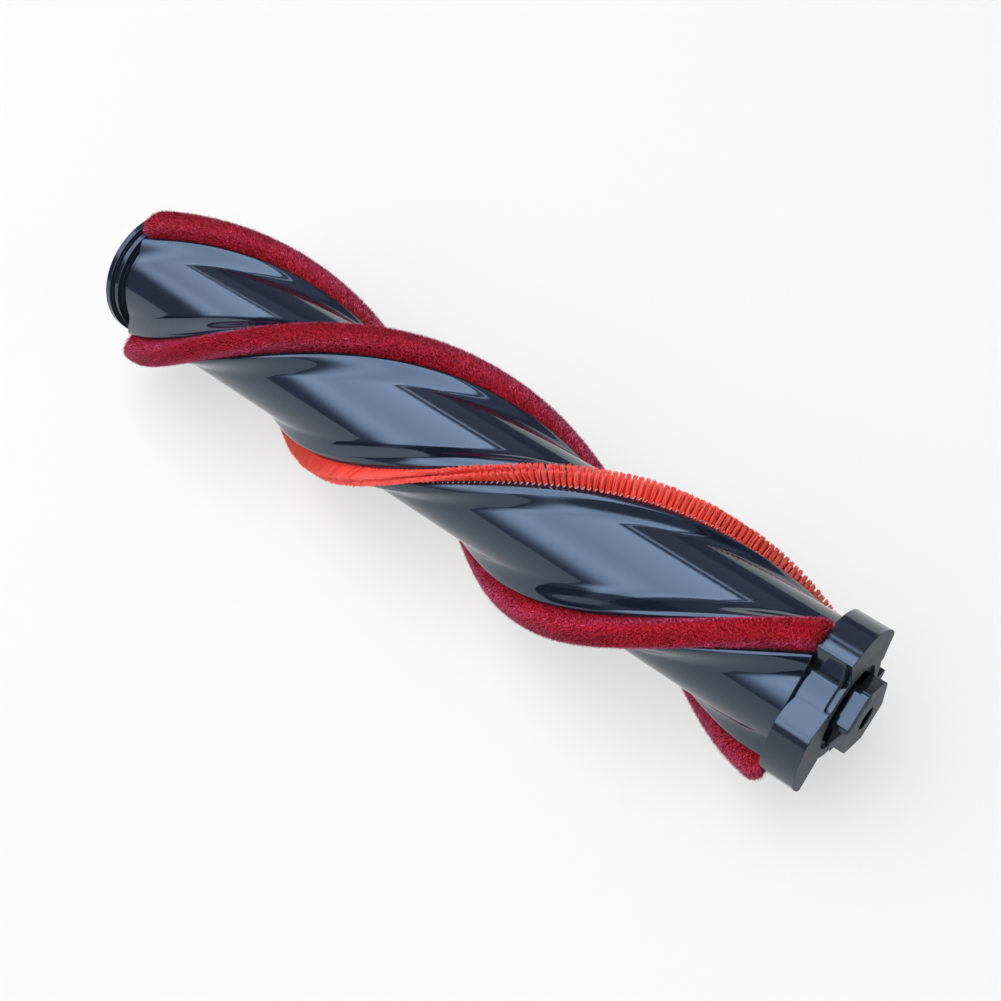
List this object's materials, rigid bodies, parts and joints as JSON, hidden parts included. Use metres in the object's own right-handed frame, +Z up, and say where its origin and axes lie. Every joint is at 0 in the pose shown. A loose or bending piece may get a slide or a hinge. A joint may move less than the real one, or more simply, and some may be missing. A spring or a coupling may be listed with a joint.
{
  "type": "vacuum roller brush",
  "caption": "Floor-head roller brush: hollow core with helical plush and bristle strips, a lobed cap with a hexagonal drive dog, and a bush that turns on a fixed axle plug.",
  "frame": {"origin": "on the roller's axis at the shoulder of the axle plug, where the plug meets its seat", "axes": "+X along the roller's axis from the axle plug to the drive dog, +Z up"},
  "size_m": [0.2375, 0.049, 0.049],
  "materials": {
    "core_plastic": "gloss black moulding",
    "cap_plastic": "satin gloss black moulding",
    "plug_plastic": "plain black moulding",
    "carrier_plastic": "matt strip",
    "plush": "short dense pile",
    "bristle": "cut filament tufts",
    "bronze": "sintered, oiled",
    "steel": "ground"
  },
  "bodies": {
    "axle": {"axle_plug": "plug_plastic", "axle_pin": "steel", "thrust_washer": "steel", "retaining_ring": "steel"},
    "roller": {"roller_core": "core_plastic", "plush_carrier_1": "carrier_plastic", "plush_pile_1": "plush", "plush_carrier_2": "carrier_plastic", "plush_pile_2": "plush", "bristle_carrier": "carrier_plastic", "bristle_tufts": "bristle", "drive_end_cap": "cap_plastic", "bearing_end_cap": "cap_plastic", "bearing_bush": "bronze"}
  },
  "joints": [
    {"name": "roller_spin", "type": "hinge", "parent": "axle", "child": "roller", "pos_m": [0, 0, 0], "axis": [1, 0, 0], "continuous": true}
  ]
}
